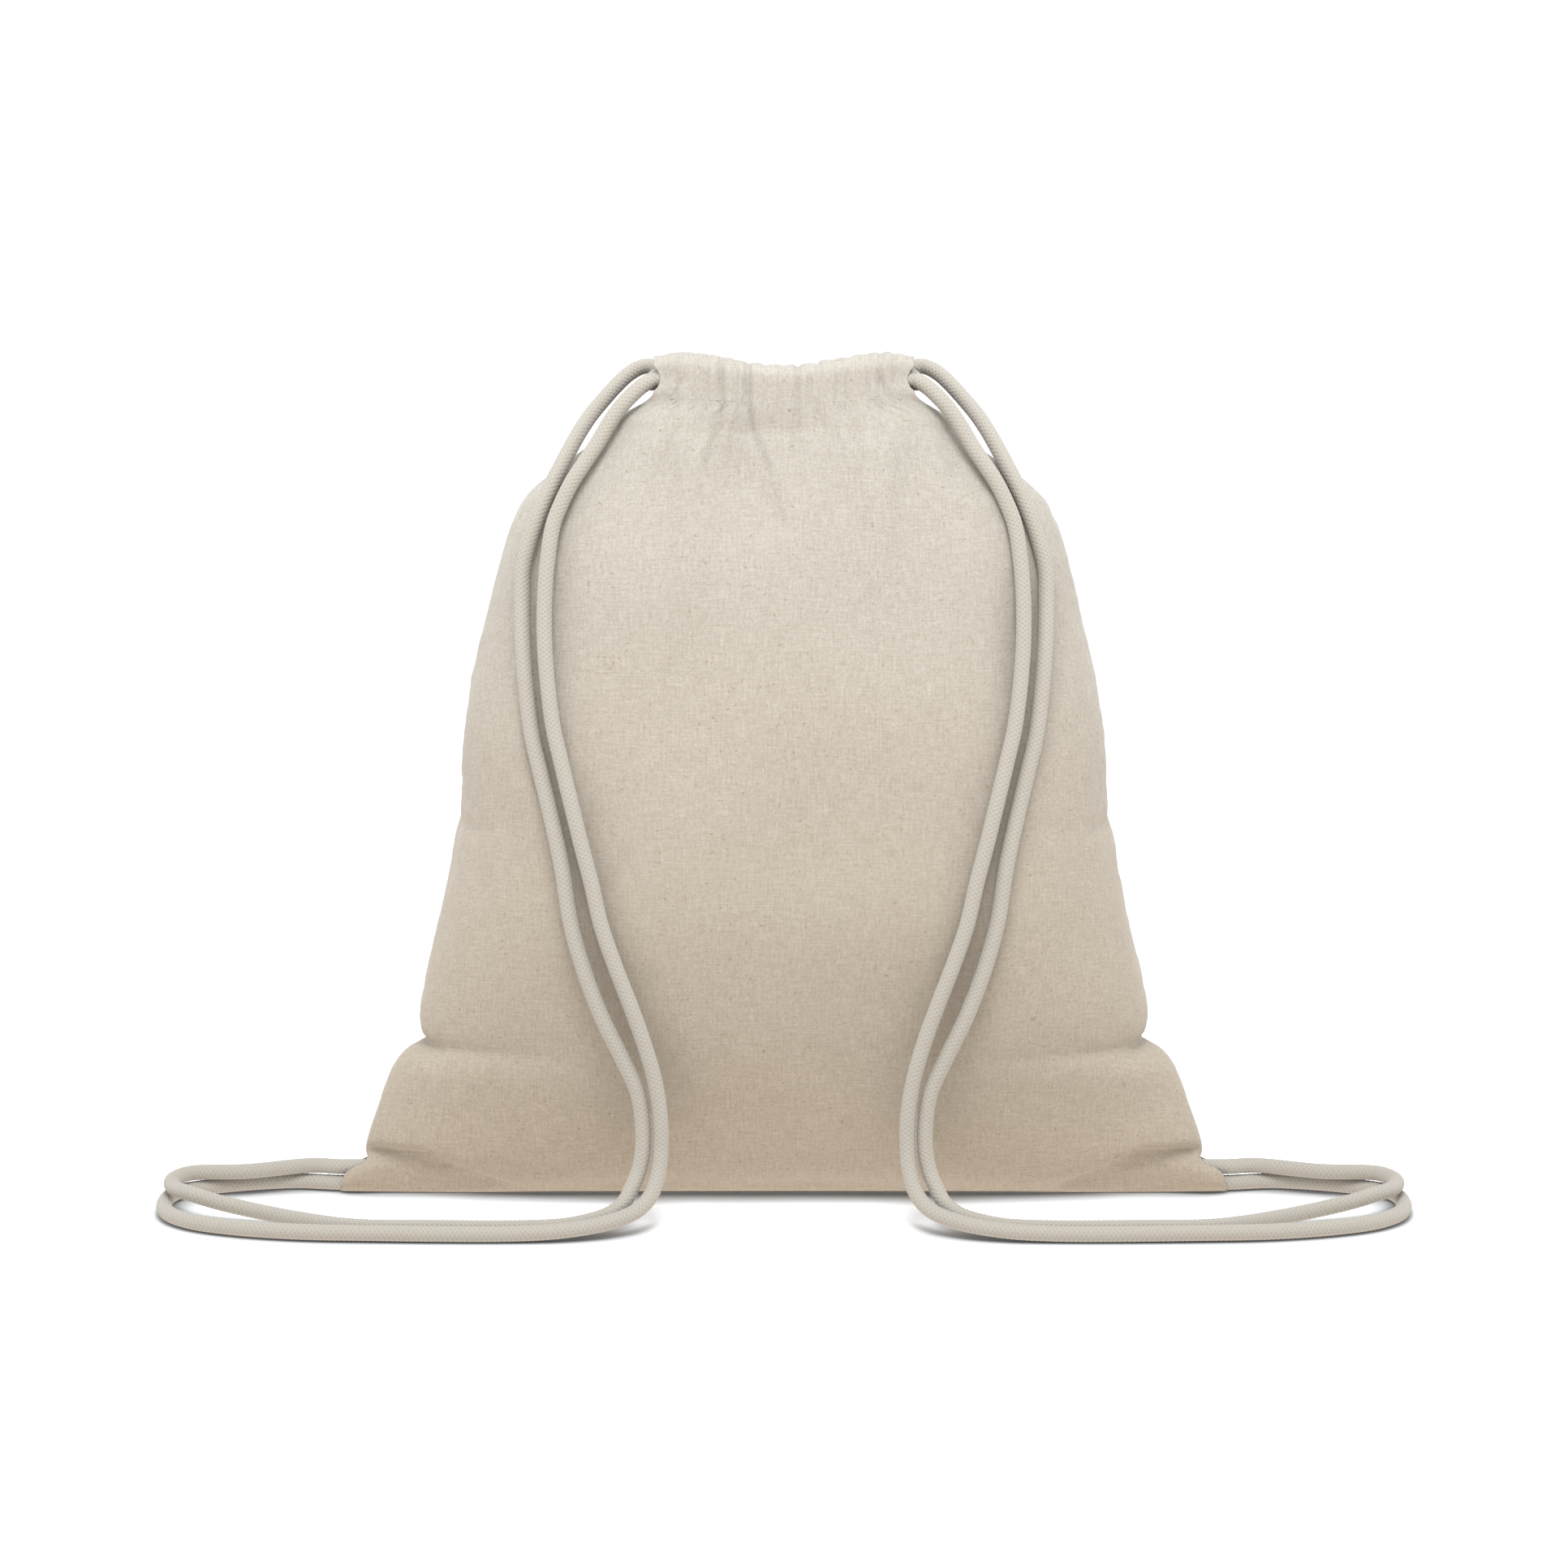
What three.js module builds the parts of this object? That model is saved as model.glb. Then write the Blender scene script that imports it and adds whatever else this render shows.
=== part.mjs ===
// Drawstring backpack, standing on its base with its straps lying loose beside it.
//
// Two cotton panels are sewn together down both sides and along the bottom. Each panel's top is
// folded into a hemmed casing. Two round cords run through both casings, one from each side, and
// each cord's two ends are sewn into the bottom corner on its own side: its double strand is the strap.
//
// Millimetres, +Z up. The front faces -Y, and the origin is on the ground under the bag's middle.

import * as THREE from 'three';
import { mergeVertices } from 'three/addons/utils/BufferGeometryUtils.js';

// ---------------------------------------------------------------- driving dimensions

const clothThickness = 1.2;
const fitGap = 0.3; // between pieces that touch
const cordDiameter = 6.2;
const cordSides = 8;
const sectionPower = 2.4; // how full the bag's cross-section is: 2 is an ellipse

const neckTop = 321.7; // where the panels end and the casings begin
const casing = {
  bottom: 322,
  top: 344,
  halfLength: 52,
  depth: 17.2,
  slot: 2, // half the mouth's width at the two ends
  bow: 9, // how much further the casings stand apart at the middle
  tunnelBottom: 329.4,
  tunnelTop: 343.2,
  wall: 1.5,
  seamY: -12, // the plane between the two casings
};
const runHeight = 336.3; // where the cords lie in the casings
const runOffset = 3.4; // from the casing's middle line to each of its two cords

// The bag's shape, from the bottom seam to the neck. At each height of the side seam: the half width,
// the seam's y, the front panel's furthest y, and where the back panel's middle line has got to,
// along the ground and then up the back, as y and z.
const stations = [
  { z: 0, half: 183, seam: -27, front: -32, backY: -27, backZ: 0 },
  { z: 8, half: 180, seam: -25, front: -35, backY: -4, backZ: 0 },
  { z: 16, half: 174, seam: -22, front: -39, backY: 20, backZ: 0 },
  { z: 26, half: 172, seam: -19, front: -44, backY: 42, backZ: 0 },
  { z: 36, half: 168.5, seam: -15.5, front: -49, backY: 56, backZ: 1 },
  { z: 48, half: 163.5, seam: -11, front: -54, backY: 65, backZ: 10 },
  { z: 60, half: 150, seam: -8, front: -59, backY: 68, backZ: 24 },
  { z: 76, half: 151, seam: -4.5, front: -64, backY: 69.5, backZ: 45 },
  { z: 94, half: 148, seam: -1, front: -67.5, backY: 70, backZ: 70 },
  { z: 120, half: 141.5, seam: 0, front: -69, backY: 69.5, backZ: 106 },
  { z: 150, half: 136, seam: 0, front: -68, backY: 67, backZ: 142 },
  { z: 180, half: 132.5, seam: -1, front: -65, backY: 61, backZ: 177 },
  { z: 210, half: 129, seam: -3, front: -60.5, backY: 53.5, backZ: 209 },
  { z: 240, half: 121.5, seam: -6, front: -55, backY: 44, backZ: 240 },
  { z: 262, half: 116, seam: -8, front: -50, backY: 36, backZ: 262 },
  { z: 280, half: 108.5, seam: -9.5, front: -45.5, backY: 29, backZ: 280 },
  { z: 294, half: 97, seam: -10.5, front: -42.5, backY: 23.5, backZ: 294 },
  { z: 306, half: 80.5, seam: -11.5, front: -41, backY: 19.5, backZ: 306 },
  { z: 315, half: 68.5, seam: -12, front: -40.3, backY: 17, backZ: 315 },
  { z: neckTop, half: 61, seam: -12, front: -39.8, backY: 15.8, backZ: neckTop },
];
const frontHemLift = 1.6; // the front panel's bottom edge lies on the back panel's
const restingShare = 0.85; // how much of the back panel's roundness is pressed flat on the ground

// ---------------------------------------------------------------- small helpers

const group = new THREE.Group();

const cotton = { color: 0xd8cdbb, roughness: 0.95, metalness: 0 };
const cordCotton = { color: 0xe8e0d4, roughness: 0.9, metalness: 0 };
const thread = { color: 0xe4dccd, roughness: 0.8, metalness: 0 };

function addPiece(name, geometry, look) {
  const mesh = new THREE.Mesh(geometry, new THREE.MeshStandardMaterial(look));
  mesh.name = name;
  group.add(mesh);
  return mesh;
}

/** Values of one named property, found at z by straight lines between the stations. */
function atHeight(z, property) {
  const last = stations.length - 1;
  let i = 0;
  while (i < last - 1 && stations[i + 1].z < z) i += 1;
  const low = stations[i];
  const high = stations[i + 1];
  const share = THREE.MathUtils.clamp((z - low.z) / (high.z - low.z), 0, 1);
  return THREE.MathUtils.lerp(low[property], high[property], share);
}

/** The section curve at an angle from -90 to 90 degrees: across is -1 to 1, out is 0 to 1. */
function sectionPoint(angle) {
  const power = 2 / sectionPower;
  const across = Math.sign(angle) * Math.abs(Math.sin(angle)) ** power;
  const out = Math.max(Math.cos(angle), 0) ** power;
  return { across, out };
}

/**
 * A closed solid between an outer and an inner grid of points, each a list of rows.
 * wrap joins each row's last point to its first, which makes a sleeve with two open ends.
 */
function solidBetween(outer, inner, wrap = false) {
  const rows = outer.length;
  const columns = outer[0].length;
  const points = [...outer.flat(), ...inner.flat()];
  const at = (layer, row, column) => layer * rows * columns + row * columns + (column % columns);
  const faces = [];
  const quad = (a, b, c, d) => faces.push(a, b, c, a, c, d);
  const strips = wrap ? columns : columns - 1;
  for (let row = 0; row < rows - 1; row += 1) {
    for (let column = 0; column < strips; column += 1) {
      const corners = [[row, column], [row, column + 1], [row + 1, column + 1], [row + 1, column]];
      quad(...corners.map(([r, c]) => at(0, r, c)));
      quad(...corners.reverse().map(([r, c]) => at(1, r, c)));
    }
  }
  for (let column = 0; column < strips; column += 1) {
    quad(at(0, 0, column + 1), at(0, 0, column), at(1, 0, column), at(1, 0, column + 1));
    const end = rows - 1;
    quad(at(0, end, column), at(0, end, column + 1), at(1, end, column + 1), at(1, end, column));
  }
  if (!wrap) {
    for (let row = 0; row < rows - 1; row += 1) {
      quad(at(0, row, 0), at(0, row + 1, 0), at(1, row + 1, 0), at(1, row, 0));
      const edge = columns - 1;
      quad(at(0, row + 1, edge), at(0, row, edge), at(1, row, edge), at(1, row + 1, edge));
    }
  }
  const geometry = new THREE.BufferGeometry();
  geometry.setAttribute('position', new THREE.Float32BufferAttribute(points.flatMap((p) => p.toArray()), 3));
  geometry.setIndex(faces);
  return geometry;
}

/** A round cord along a smooth curve through the points. */
function cordAlong(points, steps, diameter = cordDiameter) {
  const path = new THREE.CatmullRomCurve3(points.map((p) => new THREE.Vector3(...p)), false, 'centripetal');
  const section = new THREE.Shape();
  for (let side = 0; side < cordSides; side += 1) {
    const angle = (side / cordSides) * 2 * Math.PI;
    const x = (Math.cos(angle) * diameter) / 2;
    const y = (Math.sin(angle) * diameter) / 2;
    if (side === 0) section.moveTo(x, y);
    else section.lineTo(x, y);
  }
  section.closePath();
  const tube = new THREE.ExtrudeGeometry(section, { steps, extrudePath: path, bevelEnabled: false });
  tube.deleteAttribute('normal');
  tube.deleteAttribute('uv');
  return mergeVertices(tube, 1e-3);
}

/** The same points on the other side of the bag. */
const mirrored = (points) => points.map(([x, y, z]) => [-x, y, z]);

// ---------------------------------------------------------------- the two panels

const panelColumns = 20;

function columnAngles() {
  return Array.from({ length: panelColumns + 1 }, (_, i) => (i / panelColumns - 0.5) * Math.PI);
}

function frontPanel() {
  const layer = (inset) => stations.map(({ z, half, seam, front }) => {
    const edge = seam - fitGap / 2;
    return columnAngles().map((angle) => {
      const { across, out } = sectionPoint(angle);
      const y = THREE.MathUtils.lerp(edge, front + inset, out);
      return new THREE.Vector3((half - inset) * across, y, Math.max(z, frontHemLift));
    });
  });
  return solidBetween(layer(0), layer(clothThickness));
}

/** The back panel's middle line moved inwards by a distance, square to the line. */
function backMiddleLine(inset) {
  return stations.map(({ backY, backZ }, i) => {
    const before = stations[Math.max(i - 1, 0)];
    const after = stations[Math.min(i + 1, stations.length - 1)];
    const along = new THREE.Vector2(after.backY - before.backY, after.backZ - before.backZ).normalize();
    const atNeck = i === stations.length - 1;
    return { y: backY - along.y * inset, z: atNeck ? backZ : backZ + along.x * inset };
  });
}

function backPanel() {
  const layer = (inset) => {
    const middle = backMiddleLine(inset);
    return stations.map(({ z: side, half, seam }, i) => {
      const edge = seam + fitGap / 2;
      return columnAngles().map((angle) => {
        const { across, out } = sectionPoint(-angle);
        const pressed = Math.min(1, out / restingShare);
        const y = THREE.MathUtils.lerp(edge, Math.max(middle[i].y, edge), out);
        const z = THREE.MathUtils.lerp(side, middle[i].z, pressed);
        return new THREE.Vector3((half - inset) * across, y, z);
      });
    });
  };
  return solidBetween(layer(0), layer(clothThickness));
}

addPiece('front_panel', frontPanel(), cotton);
addPiece('back_panel', backPanel(), cotton);

// ---------------------------------------------------------------- seams inside the bag

const allowance = { width: 8, thickness: 1.6, bottom: 20, top: 312 };

/** The seam allowance that both panels leave inside the bag along a side. */
function sideSeam(side) {
  const between = stations.map(({ z }) => z).filter((z) => z > allowance.bottom && z < allowance.top);
  const heights = [allowance.bottom, ...between, allowance.top];
  const layer = (offset) => heights.map((z) => {
    const wall = atHeight(z, 'half') - clothThickness - 2 * fitGap;
    const y = atHeight(z, 'seam') + offset;
    const inner = new THREE.Vector3(side * (wall - allowance.width), y, z);
    const outer = new THREE.Vector3(side * wall, y, z);
    return side > 0 ? [inner, outer] : [outer, inner];
  });
  return solidBetween(layer(-allowance.thickness / 2), layer(allowance.thickness / 2));
}

addPiece('left_side_seam', sideSeam(-1), cotton);
addPiece('right_side_seam', sideSeam(1), cotton);

const bottomStrip = { length: 260, width: 7, inset: 4.2, height: 3.1 };

/** The allowance along the bottom seam, folded back on the ground inside the bag. */
function bottomSeam() {
  const strip = new THREE.BoxGeometry(bottomStrip.length, bottomStrip.width, allowance.thickness);
  strip.translate(0, stations[0].seam + bottomStrip.inset, bottomStrip.height);
  return strip;
}

addPiece('bottom_seam', bottomSeam(), cotton);

// ---------------------------------------------------------------- hemmed casings at the mouth

const casingSteps = 14;
const casingCorner = 3; // radius of the casing's rounded edges

/** The y of a casing's middle line at x. side is -1 for the front casing and 1 for the back one. */
function casingMiddle(x, side) {
  const share = x / casing.halfLength;
  return casing.seamY + side * (casing.slot + casing.depth / 2 + casing.bow * (1 - share * share));
}

/** A rounded rectangle in y and z, as points going round once. */
function roundedRectangle(width, height, radius) {
  const points = [];
  const turns = 3; // points on each corner
  for (let corner = 0; corner < 4; corner += 1) {
    const centreY = (corner === 0 || corner === 3 ? 1 : -1) * (width / 2 - radius);
    const centreZ = (corner < 2 ? 1 : -1) * (height / 2 - radius);
    for (let i = 0; i < turns; i += 1) {
      const angle = (corner + i / (turns - 1)) * (Math.PI / 2);
      points.push([centreY + radius * Math.cos(angle), centreZ + radius * Math.sin(angle)]);
    }
  }
  return points;
}

function casingSleeve(side) {
  const height = casing.top - casing.bottom;
  const tunnelHeight = casing.tunnelTop - casing.tunnelBottom;
  const skin = roundedRectangle(casing.depth, height, casingCorner);
  const tunnel = roundedRectangle(casing.depth - 2 * casing.wall, tunnelHeight, casingCorner);
  const layer = (outline, middleHeight) => Array.from({ length: casingSteps + 1 }, (_, i) => {
    const x = THREE.MathUtils.lerp(-casing.halfLength, casing.halfLength, i / casingSteps);
    return outline.map(([y, z]) => new THREE.Vector3(x, casingMiddle(x, side) + y, middleHeight + z));
  });
  const outer = layer(skin, (casing.top + casing.bottom) / 2);
  const inner = layer(tunnel, (casing.tunnelTop + casing.tunnelBottom) / 2);
  return solidBetween(outer, inner, true);
}

addPiece('front_casing', casingSleeve(-1), cotton);
addPiece('back_casing', casingSleeve(1), cotton);

const stitchRow = { size: 0.8, height: 326.5, inset: 3, spans: 8 };

/** The row of stitches that closes a hem, lying on the casing's outer face. */
function hemStitches(side) {
  const end = casing.halfLength - stitchRow.inset;
  const points = Array.from({ length: stitchRow.spans + 1 }, (_, i) => {
    const x = THREE.MathUtils.lerp(-end, end, i / stitchRow.spans);
    const y = casingMiddle(x, side) + side * (casing.depth / 2 + fitGap + stitchRow.size / 2);
    return [x, y, stitchRow.height];
  });
  return cordAlong(points, casingSteps, stitchRow.size);
}

addPiece('front_hem_stitches', hemStitches(-1), thread);
addPiece('back_hem_stitches', hemStitches(1), thread);

// ---------------------------------------------------------------- cords inside the casings

const runSpans = 8;
const runSteps = 12;
const runHalfLength = casing.halfLength - 2.6; // the free strands and turns start just inside the ends

/**
 * A cord's run through a casing. The two cords swap places on the way, half a turn round each other,
 * so that each leaves the casing on the outer side at its own end. cordSide is -1 for the left cord.
 */
function casingRun(side, cordSide) {
  const points = Array.from({ length: runSpans + 1 }, (_, i) => {
    const share = i / runSpans;
    const x = THREE.MathUtils.lerp(-runHalfLength, runHalfLength, share);
    const angle = share * Math.PI;
    const outward = -cordSide * Math.cos(angle);
    const lift = -cordSide * Math.sin(angle);
    return [x, casingMiddle(x, side) + side * runOffset * outward, runHeight + runOffset * lift];
  });
  return cordAlong(points, runSteps);
}

for (const [cordName, cordSide] of [['left', -1], ['right', 1]]) {
  addPiece(`${cordName}_cord_front_run`, casingRun(-1, cordSide), cordCotton);
  addPiece(`${cordName}_cord_back_run`, casingRun(1, cordSide), cordCotton);
}

const turn = { reach: 6, dip: 0.5, clearance: 1, steps: 8 };

/** The bend at the far slit, where a cord leaves one casing and goes back through the other. */
function slitTurn(side) {
  const innerRun = casing.slot + casing.depth / 2 - runOffset;
  const start = casing.halfLength + turn.clearance;
  const shoulder = start + turn.reach * 0.6;
  const points = [
    [side * start, casing.seamY - innerRun, runHeight],
    [side * shoulder, casing.seamY - innerRun * 0.85, runHeight - turn.dip * 0.3],
    [side * (start + turn.reach), casing.seamY, runHeight - turn.dip],
    [side * shoulder, casing.seamY + innerRun * 0.85, runHeight - turn.dip * 0.3],
    [side * start, casing.seamY + innerRun, runHeight],
  ];
  return cordAlong(points, turn.steps);
}

addPiece('right_cord_turn', slitTurn(-1), cordCotton);
addPiece('left_cord_turn', slitTurn(1), cordCotton);

const slitBar = { length: 8, thickness: 2, height: 2.4, x: 56.5 };

/** The bar of thread that stops a side seam from tearing open at the bottom of its slit. */
function slitTack(side) {
  const bar = new THREE.BoxGeometry(slitBar.length, slitBar.thickness, slitBar.height);
  bar.translate(side * slitBar.x, casing.seamY, casing.bottom + slitBar.height / 2);
  return bar;
}

addPiece('left_slit_tack', slitTack(-1), thread);
addPiece('right_slit_tack', slitTack(1), thread);

// ---------------------------------------------------------------- the straps

// The left cord's two free ends. Each leaves its casing, hangs down the front of the bag, lies on the
// ground beside it in a long loop and comes back to the left bottom corner.
const innerStrand = [
  [-51.8, -26, 334.6],
  [-57, -27, 331.6],
  [-64, -28.5, 324.9],
  [-69, -29.5, 318.4],
  [-75, -31.5, 308.4],
  [-79.5, -33.5, 301.6],
  [-84.5, -35.5, 294],
  [-89, -37, 285],
  [-92, -38.5, 277],
  [-94, -41, 265],
  [-95.3, -44, 249],
  [-95.2, -48, 228],
  [-92, -54, 199],
  [-88.5, -57.5, 184],
  [-84.5, -61, 168],
  [-80.5, -63.7, 152],
  [-76.5, -66, 137],
  [-72.5, -68.3, 120],
  [-67, -70.2, 104],
  [-60.5, -71.4, 87],
  [-55, -72, 71],
  [-51.3, -72.3, 57],
  [-49.3, -73, 43],
  [-49.2, -74, 30],
  [-50.3, -77, 20.5],
  [-53, -82, 13.5],
  [-58.5, -88, 9],
  [-70, -94, 6],
  [-86, -98, 4.2],
  [-105, -99.3, 3.3],
  [-163, -98.5, 3.3],
  [-193, -96.3, 3.3],
  [-219, -90, 3.3],
  [-236, -82, 3.3],
  [-247, -70.5, 3.3],
  [-251.5, -54, 3.3],
  [-249, -39.5, 3.3],
  [-237, -31.5, 3.3],
  [-205, -22.5, 3.3],
  [-184.8, -25, 3.3],
];

const outerStrand = [
  [-51.8, 2, 339.2],
  [-57, 2.5, 340.6],
  [-63, 0, 336.7],
  [-75.5, -10, 323.5],
  [-81.5, -17, 315],
  [-89, -26, 301],
  [-93, -30, 293],
  [-97, -32.5, 284],
  [-102, -34.5, 270],
  [-104.8, -36, 258],
  [-105, -38, 247],
  [-104.3, -43.5, 227],
  [-100.8, -50.5, 195],
  [-97, -54, 179],
  [-93, -57.5, 163],
  [-88.5, -61.5, 143],
  [-84.5, -65, 119],
  [-79, -67.5, 100],
  [-72, -69.3, 82],
  [-64.5, -70, 66.5],
  [-58.5, -70.8, 53],
  [-56.5, -71.5, 41],
  [-56.5, -73, 29],
  [-58, -75, 21.5],
  [-60.5, -78.5, 16],
  [-63.5, -82.5, 11],
  [-69, -86.5, 7.5],
  [-79, -89.5, 5],
  [-91, -91, 3.6],
  [-145, -91, 3.3],
  [-170, -89.3, 3.3],
  [-197, -78, 3.6],
  [-226, -70.5, 7.5],
  [-237, -66.5, 9.6],
  [-247, -57, 9.9],
  [-250, -45, 9.9],
  [-245, -35, 9.9],
  [-222, -32, 9.9],
  [-196, -22.5, 9.9],
  [-185, -24.5, 9.9],
];

const strandSteps = 48;

for (const [strandName, route] of [['inner', innerStrand], ['outer', outerStrand]]) {
  addPiece(`left_${strandName}_strand`, cordAlong(route, strandSteps), cordCotton);
  addPiece(`right_${strandName}_strand`, cordAlong(mirrored(route), strandSteps), cordCotton);
}

// ---------------------------------------------------------------- cord ends sewn into the corners

const flattened = { length: 16, thickness: 1.4, height: 5.2 };
const innerEnd = { x: 168, z: 5.2 };
const outerEnd = { x: 161, z: 11.5 };
const cornerBar = { width: 2.4, thickness: 1.4, height: 12, x: 150, z: 9 };

/** A cord's end, pressed flat between the two panels in a bottom corner. */
function flattenedEnd(side, { x, z }) {
  const end = new THREE.BoxGeometry(flattened.length, flattened.thickness, flattened.height);
  end.translate(side * x, atHeight(z, 'seam'), z);
  return end;
}

/** The bar of thread beside the two flattened ends. */
function cornerTack(side) {
  const bar = new THREE.BoxGeometry(cornerBar.width, cornerBar.thickness, cornerBar.height);
  bar.translate(side * cornerBar.x, atHeight(cornerBar.z, 'seam'), cornerBar.z);
  return bar;
}

for (const [sideName, side] of [['left', -1], ['right', 1]]) {
  addPiece(`${sideName}_inner_strand_end`, flattenedEnd(side, innerEnd), cordCotton);
  addPiece(`${sideName}_outer_strand_end`, flattenedEnd(side, outerEnd), cordCotton);
  addPiece(`${sideName}_corner_tack`, cornerTack(side), thread);
}

export default group;
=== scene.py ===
"""The looks of a drawstring backpack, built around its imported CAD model.

The two cloth panels are fine meshes that run from the bottom seam, up over the gathered hem and down
inside it. Each cord is a braided tube along the route of its CAD solid, or close to it.
Everything is in metres, +Z up, with the bag's front facing -Y.
"""

import math

import bpy
import numpy as np
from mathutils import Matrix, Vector
from mathutils.kdtree import KDTree


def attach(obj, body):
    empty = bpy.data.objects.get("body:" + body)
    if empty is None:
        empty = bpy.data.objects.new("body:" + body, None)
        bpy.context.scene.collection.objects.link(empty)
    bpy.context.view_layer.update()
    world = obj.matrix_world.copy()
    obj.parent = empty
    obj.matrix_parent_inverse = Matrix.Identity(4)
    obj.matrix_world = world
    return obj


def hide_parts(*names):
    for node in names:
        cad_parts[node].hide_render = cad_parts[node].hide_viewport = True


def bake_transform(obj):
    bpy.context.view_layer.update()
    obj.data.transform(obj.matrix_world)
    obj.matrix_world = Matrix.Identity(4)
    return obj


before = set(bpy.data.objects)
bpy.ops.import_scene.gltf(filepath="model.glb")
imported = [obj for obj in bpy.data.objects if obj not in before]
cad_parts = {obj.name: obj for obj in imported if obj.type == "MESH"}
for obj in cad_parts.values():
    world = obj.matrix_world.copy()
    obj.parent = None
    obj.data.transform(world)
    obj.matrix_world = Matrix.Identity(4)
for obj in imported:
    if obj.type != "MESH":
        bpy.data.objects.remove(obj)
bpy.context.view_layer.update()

MM = 0.001
SIDES = (("left", 1), ("right", -1))

# ---------------------------------------------------------------- camera, light and floor

CAMERA_PLACE = Vector((0, -1235, 340)) * MM
CAMERA_AIM = Vector((0, -35, 172)) * MM
LENS_MM = 68.7
SENSOR_MM = 36
LAMP_SIZE = 0.5
OVERHEAD_PLACE = (0, -0.55, 1.12)
OVERHEAD_TARGET = (0, -0.02, 0.22)
OVERHEAD_WATTS = 12
SIDE_PLACE = (1.1, -0.25, 0.45)
SIDE_TARGET = (0, -0.02, 0.12)
SIDE_WATTS = 1.5
SURROUNDINGS_ABOVE = (1.13, 1.13, 1.13, 1)
SURROUNDINGS_BELOW = (1.66, 1.53, 1.41, 1)
HORIZON = 0.488  # on the scale from 0, straight down, to 1, straight up
FLOOR_COLOUR = (0.885, 0.915, 0.955, 1)
FLOOR_SHADE_REACH = 0.014  # how far the painted contact shadow spreads from what stands on the floor
FLOOR_GLOW = 0.03


def aim(thing, place, target):
    """Puts a camera or lamp at a place, looking at a target."""
    thing.location = place
    thing.rotation_euler = (Vector(target) - Vector(place)).to_track_quat("-Z", "Y").to_euler()


def add_camera():
    data = bpy.data.cameras.new("camera")
    data.lens = LENS_MM
    data.sensor_width = SENSOR_MM
    camera = bpy.data.objects.new("camera", data)
    bpy.context.scene.collection.objects.link(camera)
    aim(camera, CAMERA_PLACE, CAMERA_AIM)
    bpy.context.scene.camera = camera


def add_lamp(name, place, target, size, watts):
    data = bpy.data.lights.new(name, "AREA")
    data.shape = "SQUARE"
    data.size = size
    data.energy = watts
    lamp = bpy.data.objects.new(name, data)
    bpy.context.scene.collection.objects.link(lamp)
    aim(lamp, place, target)


def add_studio():
    """White surroundings above and warmer ones below, three wide soft lamps, and a pale floor with a
    painted contact shadow.
    """
    scene = bpy.context.scene
    scene.view_settings.view_transform = "Standard"
    world = bpy.data.worlds.new("studio")
    world.use_nodes = True
    nodes, links = world.node_tree.nodes, world.node_tree.links
    direction = nodes.new("ShaderNodeTexCoord")
    height = nodes.new("ShaderNodeSeparateXYZ")
    halfway = nodes.new("ShaderNodeMath")
    halfway.operation = "MULTIPLY_ADD"
    halfway.inputs[1].default_value = 0.5
    halfway.inputs[2].default_value = 0.5
    shade = nodes.new("ShaderNodeValToRGB")
    below, above = shade.color_ramp.elements
    below.position, below.color = HORIZON - 0.02, SURROUNDINGS_BELOW
    above.position, above.color = HORIZON, SURROUNDINGS_ABOVE
    links.new(direction.outputs["Generated"], height.inputs[0])
    links.new(height.outputs[2], halfway.inputs[0])
    links.new(halfway.outputs["Value"], shade.inputs["Fac"])
    links.new(shade.outputs["Color"], nodes["Background"].inputs["Color"])
    scene.world = world
    add_lamp("overhead", OVERHEAD_PLACE, OVERHEAD_TARGET, LAMP_SIZE, OVERHEAD_WATTS)
    x, y, z = SIDE_PLACE
    add_lamp("left_side", (-x, y, z), SIDE_TARGET, LAMP_SIZE, SIDE_WATTS)
    add_lamp("right_side", (x, y, z), SIDE_TARGET, LAMP_SIZE, SIDE_WATTS)

    bpy.ops.mesh.primitive_plane_add(size=60, location=(0, 0, -0.0003))
    floor = bpy.context.object
    floor.name = "floor"
    floor.visible_diffuse = False  # the warmer surroundings light the bag from below, not the floor
    material = bpy.data.materials.new("floor")
    material.use_nodes = True
    shader = material.node_tree.nodes["Principled BSDF"]
    # painted contact shadow: the floor's colour darkens where things stand close to it
    shade = material.node_tree.nodes.new("ShaderNodeAmbientOcclusion")
    shade.inputs["Color"].default_value = FLOOR_COLOUR
    shade.inputs["Distance"].default_value = FLOOR_SHADE_REACH
    material.node_tree.links.new(shade.outputs["Color"], shader.inputs["Base Color"])
    shader.inputs["Roughness"].default_value = 0.9
    shader.inputs["Specular IOR Level"].default_value = 0.0
    shader.inputs["Emission Color"].default_value = (1, 1, 1, 1)
    shader.inputs["Emission Strength"].default_value = FLOOR_GLOW
    floor.data.materials.append(material)


add_camera()
add_studio()

# ---------------------------------------------------------------- cord routes

CORD_DIAMETER = 6.3 * MM
CORD_SIDES = 30
RING_STEP = 0.4 * MM
BRAID_BUNDLES = 7  # bundles of yarn each way round the cord
BRAID_PITCH = 1.9 * MM
BRAID_RELIEF = 0.13 * MM

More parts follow.
